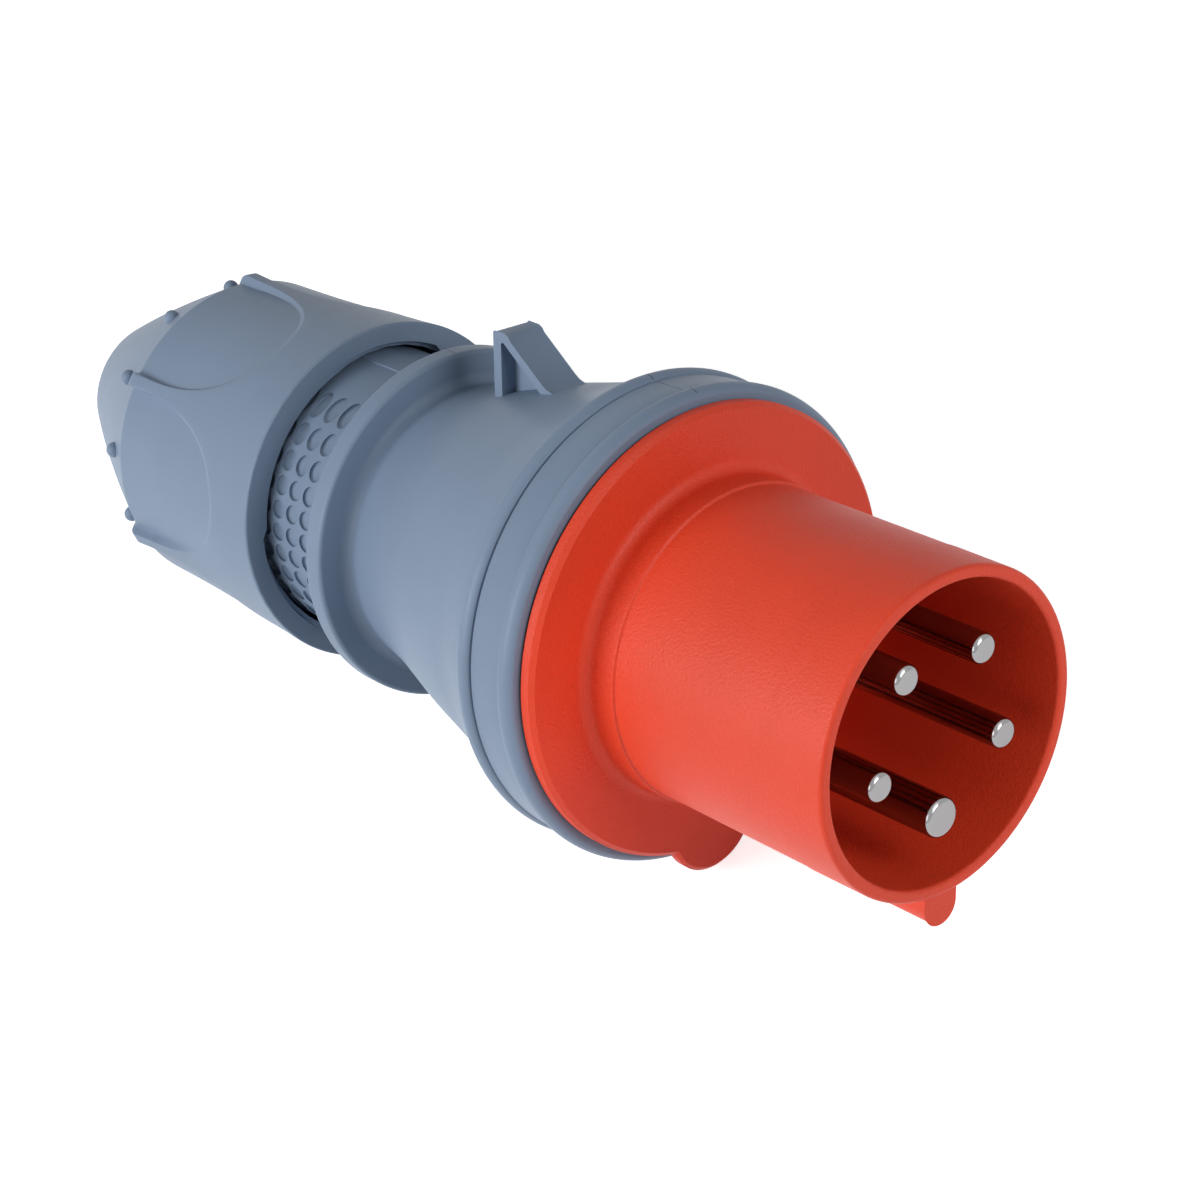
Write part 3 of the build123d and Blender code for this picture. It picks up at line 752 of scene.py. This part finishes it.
def make_nut():
    """Nut with its pockets, inner thread, chamber, cable hole and knobs."""
    nut = make_nut_outside()
    inside = rounded([
        (thread_end + cut_past, chamber_center_gap, 0),
        (thread_end + cut_past, chamber_radius, 0),
        (chamber_rear + chamber_chamfer, chamber_radius, 0.4),
        (chamber_rear, chamber_radius - chamber_chamfer, 0.2),
        (chamber_rear, chamber_seat_radius, 0),
        (nut_rear + cable_hole_length, cable_hole_radius, 1.0),
        (nut_rear - cut_past, cable_hole_radius + cable_hole_draft, 0),
        (nut_rear - cut_past, chamber_center_gap, 0),
    ])
    boolean(nut, lathe("chamber", inside, 192), "DIFFERENCE")
    boolean(nut, thread_cutter(), "DIFFERENCE")
    boolean(nut, knob_group(), "UNION")
    return tidy(nut, sharp=40)


# Materials

drift_scale = 28.0
drift_detail = 3.0
drift_stops = (0.3, 0.7)
drift_shades = (0.94, 1.06)
roughness_spread = 0.08
grain_depth = 0.2 * MM
metal_grain_scale = 900.0
metal_roughness_span = (0.6, 1.4)


def new_material(name):
    """New material, with its nodes and links."""
    material = bpy.data.materials.new(name)
    material.use_nodes = True
    return material, material.node_tree.nodes, material.node_tree.links


def noise(nodes, links, scale, detail=2.0):
    """Noise in the object's own space."""
    place = nodes.new("ShaderNodeTexCoord")
    pattern = nodes.new("ShaderNodeTexNoise")
    pattern.inputs["Scale"].default_value = scale
    pattern.inputs["Detail"].default_value = detail
    links.new(place.outputs["Object"], pattern.inputs["Vector"])
    return pattern.outputs["Fac"]


def between(nodes, links, value, low, high):
    """Output that runs from low to high as the value runs from 0 to 1."""
    span = nodes.new("ShaderNodeMapRange")
    span.inputs["To Min"].default_value = low
    span.inputs["To Max"].default_value = high
    links.new(value, span.inputs["Value"])
    return span.outputs["Result"]


def plastic(name, colour, roughness=0.42, gloss=0.3, grain=0.04, grain_scale=2600.0):
    """Moulded plastic: slight colour drift and fine spark-eroded grain."""
    material, nodes, links = new_material(name)
    shader = nodes["Principled BSDF"]
    shader.inputs["Specular IOR Level"].default_value = gloss
    ramp = nodes.new("ShaderNodeValToRGB")
    for element, stop, shade in zip(ramp.color_ramp.elements, drift_stops, drift_shades):
        element.position = stop
        element.color = tuple(min(1, c * shade) for c in colour) + (1,)
    links.new(noise(nodes, links, drift_scale, drift_detail), ramp.inputs["Fac"])
    links.new(ramp.outputs["Color"], shader.inputs["Base Color"])
    fine = noise(nodes, links, grain_scale)
    low = roughness - roughness_spread
    high = roughness + roughness_spread
    links.new(between(nodes, links, fine, low, high), shader.inputs["Roughness"])
    bump = nodes.new("ShaderNodeBump")
    bump.inputs["Strength"].default_value = grain
    bump.inputs["Distance"].default_value = grain_depth
    links.new(fine, bump.inputs["Height"])
    links.new(bump.outputs["Normal"], shader.inputs["Normal"])
    return material


def metal(name, colour, roughness):
    """Plated metal with a slightly uneven gloss."""
    material, nodes, links = new_material(name)
    shader = nodes["Principled BSDF"]
    shader.inputs["Metallic"].default_value = 1.0
    shader.inputs["Base Color"].default_value = colour + (1,)
    fine = noise(nodes, links, metal_grain_scale)
    low, high = (roughness * share for share in metal_roughness_span)
    links.new(between(nodes, links, fine, low, high), shader.inputs["Roughness"])
    return material


red = plastic("red_plastic", (0.74, 0.055, 0.018), roughness=0.48, gloss=0.34, grain=0.7,
              grain_scale=1900.0)
grey = plastic("grey_plastic", (0.190, 0.255, 0.355), roughness=0.44, gloss=0.22, grain=0.12)
carrier_grey = plastic("carrier_plastic", (0.55, 0.56, 0.55))
cage_black = plastic("cage_plastic", (0.05, 0.055, 0.06))
rubber = plastic("seal_rubber", (0.018, 0.018, 0.02), roughness=0.6)
nickel = metal("contact_metal", (0.31, 0.305, 0.31), 0.14)
zinc = metal("screw_steel", (0.60, 0.61, 0.62), 0.3)
SLOTS = {
    "red_plastic": red, "grey_plastic": grey, "carrier_plastic": carrier_grey,
    "cage_plastic": cage_black, "seal_rubber": rubber, "contact_metal": nickel,
    "screw_steel": zinc,
}


def dress(thing, slot):
    """Give a new piece the material of a slot."""
    thing.data.materials.clear()
    thing.data.materials.append(SLOTS[slot])


def paint_cad_nodes():
    """Give every carried-over CAD node its slot's material."""
    slot_of = {part["node"]: part["material_slot"] for part in record["subparts"]}
    for name, thing in frame["nodes"].items():
        for slot in thing.material_slots:
            slot.material = SLOTS[slot_of[name]]


def add_piece(thing, name, body, slot, node):
    """Name a finished piece, and let it stand for a CAD node on its body."""
    thing.name = name
    dress(thing, slot)
    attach(thing, body)
    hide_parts(node)


# Stage, lights and camera

floor_half_size = 6.0
floor_colour = (0.86, 0.86, 0.87, 1)
floor_glow = 0.75
world_as_light = 0.07
world_as_seen = 1.0


def seen_directly(nodes, links):
    """Output that is 1 for camera, transmission and glossy rays, and 0 for the rest."""
    path = nodes.new("ShaderNodeLightPath")
    total = path.outputs["Is Camera Ray"]
    for ray in ("Is Transmission Ray", "Is Glossy Ray"):
        either = nodes.new("ShaderNodeMath")
        either.operation = "MAXIMUM"
        links.new(total, either.inputs[0])
        links.new(path.outputs[ray], either.inputs[1])
        total = either.outputs[0]
    return total


def make_floor():
    """Pale floor that glows towards the camera, so that it looks white round the shadow."""
    size = floor_half_size
    mesh = bpy.data.meshes.new("floor")
    mesh.from_pydata([(-size, -size, 0), (size, -size, 0), (size, size, 0), (-size, size, 0)],
                     [], [(0, 1, 2, 3)])
    floor = bpy.data.objects.new("floor", mesh)
    bpy.context.scene.collection.objects.link(floor)
    material, nodes, links = new_material("floor")
    shader = nodes["Principled BSDF"]
    shader.inputs["Base Color"].default_value = floor_colour
    shader.inputs["Roughness"].default_value = 1.0
    shader.inputs["Specular IOR Level"].default_value = 0.0
    glow = nodes.new("ShaderNodeEmission")
    add = nodes.new("ShaderNodeAddShader")
    strength = between(nodes, links, seen_directly(nodes, links), 0.0, floor_glow)
    links.new(strength, glow.inputs["Strength"])
    links.new(shader.outputs[0], add.inputs[0])
    links.new(glow.outputs[0], add.inputs[1])
    links.new(add.outputs[0], nodes["Material Output"].inputs["Surface"])
    mesh.materials.append(material)


soft_box_size = 0.45
soft_box_distance = 1.0
# Direction from the pins' side round to the camera's left and height in degrees, and watts
soft_boxes = {
    "left_low": (106, 7, 6.6),
    "left_high": (120, 45, 0.9),
    "left_middle": (70, 5, 1.2),
    "back_left": (160, 8, 0.2),
    "front_high": (0, 45, 0.8),
    "front_middle": (0, 24, 3.4),
}


def soft_box(name, azimuth, elevation, power):
    """Square soft box that faces the plug's middle, in the plug's own frame and in metres."""
    target = Vector((-0.05, 0, 0))
    level = cos(elevation)
    direction = Vector((level * cos(azimuth), -level * sin(azimuth), sin(elevation)))
    lamp = bpy.data.lights.new(name, "AREA")
    lamp.shape = "SQUARE"
    lamp.size = soft_box_size
    lamp.energy = power
    thing = bpy.data.objects.new(name, lamp)
    thing.location = PLUG @ (target + direction * soft_box_distance)
    facing = PLUG @ target - thing.location
    thing.rotation_euler = facing.to_track_quat("-Z", "Y").to_euler()
    bpy.context.scene.collection.objects.link(thing)


def make_world():
    """Even surroundings: dim as a light, and pure white where they are seen or mirrored."""
    world = bpy.data.worlds.new("surroundings")
    bpy.context.scene.world = world
    world.use_nodes = True
    nodes, links = world.node_tree.nodes, world.node_tree.links
    background = nodes["Background"]
    background.inputs["Color"].default_value = (1, 1, 1, 1)
    seen = seen_directly(nodes, links)
    strength = between(nodes, links, seen, world_as_light, world_as_seen)
    links.new(strength, background.inputs["Strength"])


def make_camera():
    """Camera fitted to the photograph: its place and axes in the plug's frame, and its lens."""
    place = Vector((411.75, -382.27, 251.51)) * MM
    right = Vector((0.656987, 0.753726, -0.016252))
    up = Vector((-0.290840, 0.273282, 0.916913))
    back = right.cross(up)
    turned = Matrix((right, up, back)).transposed().to_4x4()
    turned.translation = place
    camera = bpy.data.cameras.new("camera")
    camera.sensor_width = 36.0
    camera.lens = 96.594
    thing = bpy.data.objects.new("camera", camera)
    thing.matrix_world = PLUG @ turned
    bpy.context.scene.collection.objects.link(thing)
    bpy.context.scene.camera = thing


def main():
    """Build and place the pieces, then the stage, the camera and the lights."""
    paint_cad_nodes()
    add_piece(make_shroud(), "shroud_moulding", "plug", "red_plastic", "pin_shroud")
    for name in pin_angles:
        add_piece(make_pin(name), "contact_pin_" + name, "plug", "contact_metal", "pin_" + name)
    add_piece(make_housing(), "housing_moulding", "plug", "grey_plastic", "housing")
    add_piece(make_nut(), "gland_nut_moulding", "nut", "grey_plastic", "gland_nut")
    make_floor()
    make_world()
    make_camera()
    for name, (azimuth, elevation, power) in soft_boxes.items():
        soft_box(name, radians(azimuth), radians(elevation), power)


main()
bpy.context.scene.view_settings.view_transform = "Standard"
